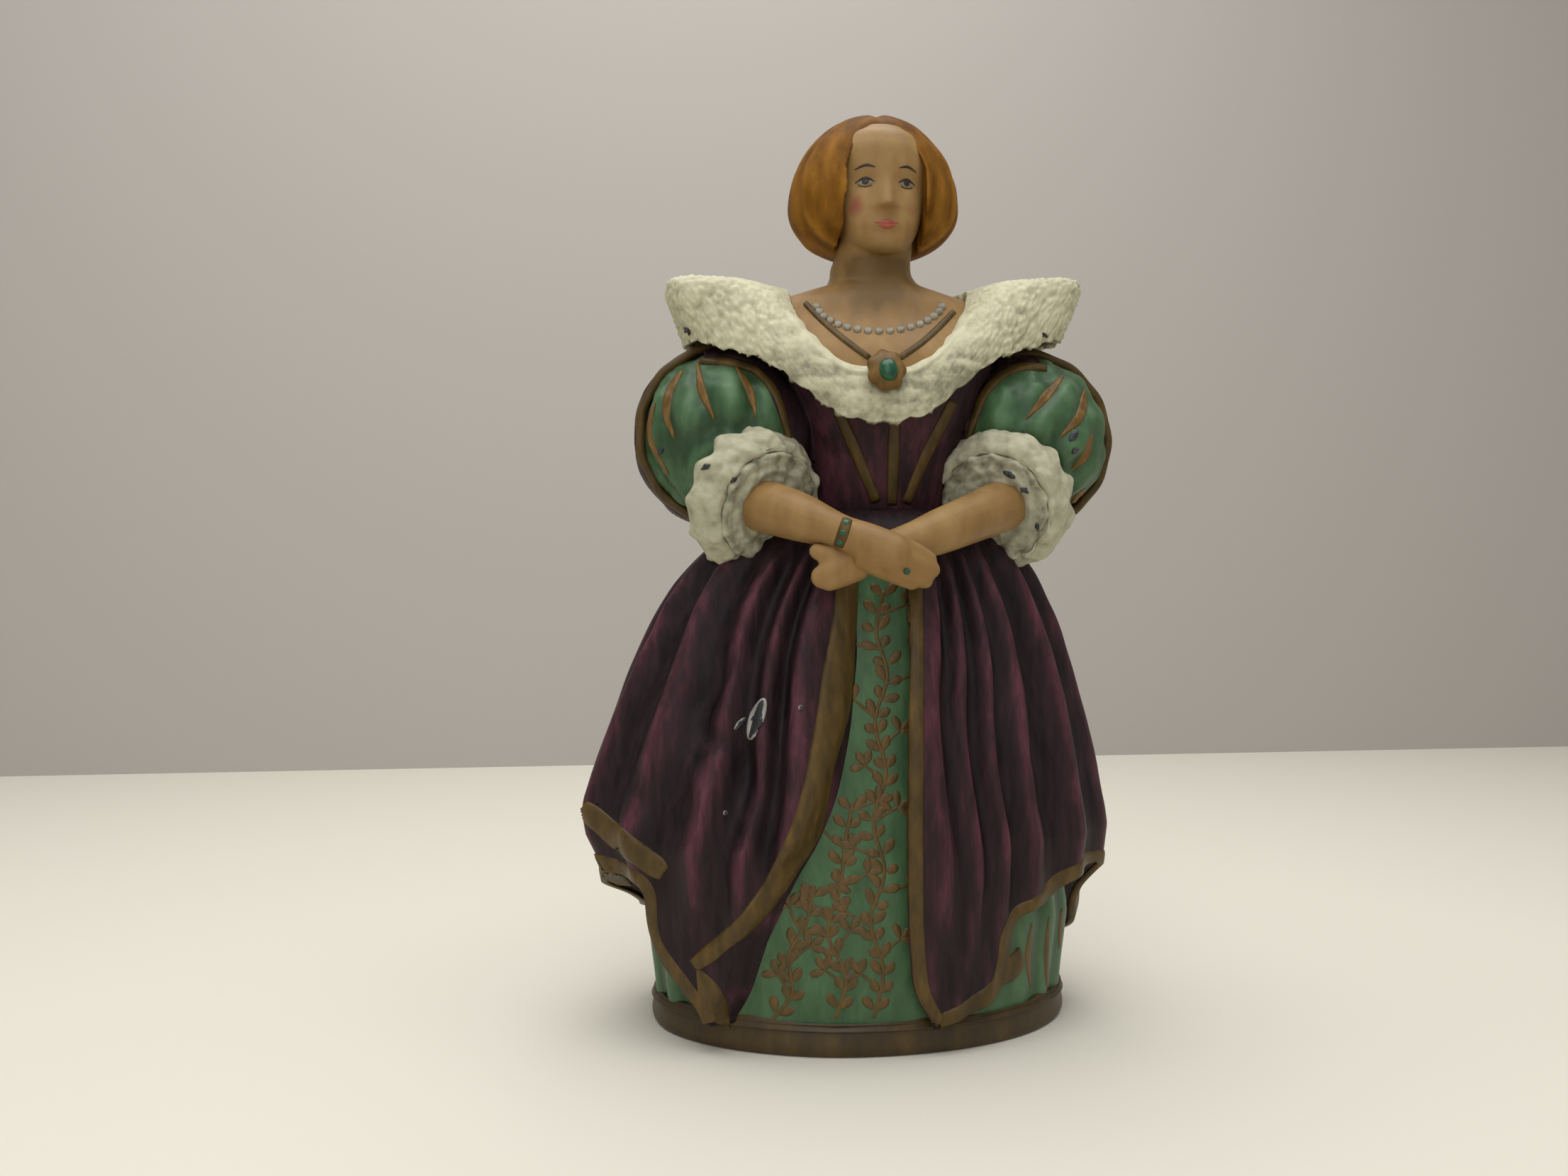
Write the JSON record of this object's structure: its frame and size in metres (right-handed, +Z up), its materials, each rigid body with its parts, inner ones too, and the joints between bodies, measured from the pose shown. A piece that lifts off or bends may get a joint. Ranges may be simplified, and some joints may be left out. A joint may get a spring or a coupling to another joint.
{
  "type": "standing lady figure",
  "caption": "Small painted cast-metal figure of a standing lady in an open court gown with puffed sleeves and a wide lace collar, on an oval foot plate.",
  "frame": {"origin": "centre of the flat underside of the oval base", "axes": "+Z up, the lady faces -Y, her left hand side is +X"},
  "size_m": [0.036, 0.0228, 0.06],
  "materials": {
    "bronze_paint": "satin",
    "green_paint": "satin",
    "purple_paint": "satin",
    "flesh_paint": "satin",
    "hair_paint": "satin",
    "white_paint": "matte",
    "gold_paint": "satin",
    "stone_paint": "gloss"
  },
  "bodies": {
    "root": {"base": "bronze_paint", "petticoat": "green_paint", "overskirt": "purple_paint", "bodice": "purple_paint", "head": "flesh_paint", "hair": "hair_paint", "collar": "white_paint", "sleeve_right": "green_paint", "sleeve_left": "green_paint", "oversleeve_right": "purple_paint", "oversleeve_left": "purple_paint", "cuff_right": "white_paint", "cuff_left": "white_paint", "frill_right": "white_paint", "frill_left": "white_paint", "forearm_right": "flesh_paint", "forearm_left": "flesh_paint", "pendant": "gold_paint", "pendant_stone": "stone_paint"}
  },
  "joints": []
}
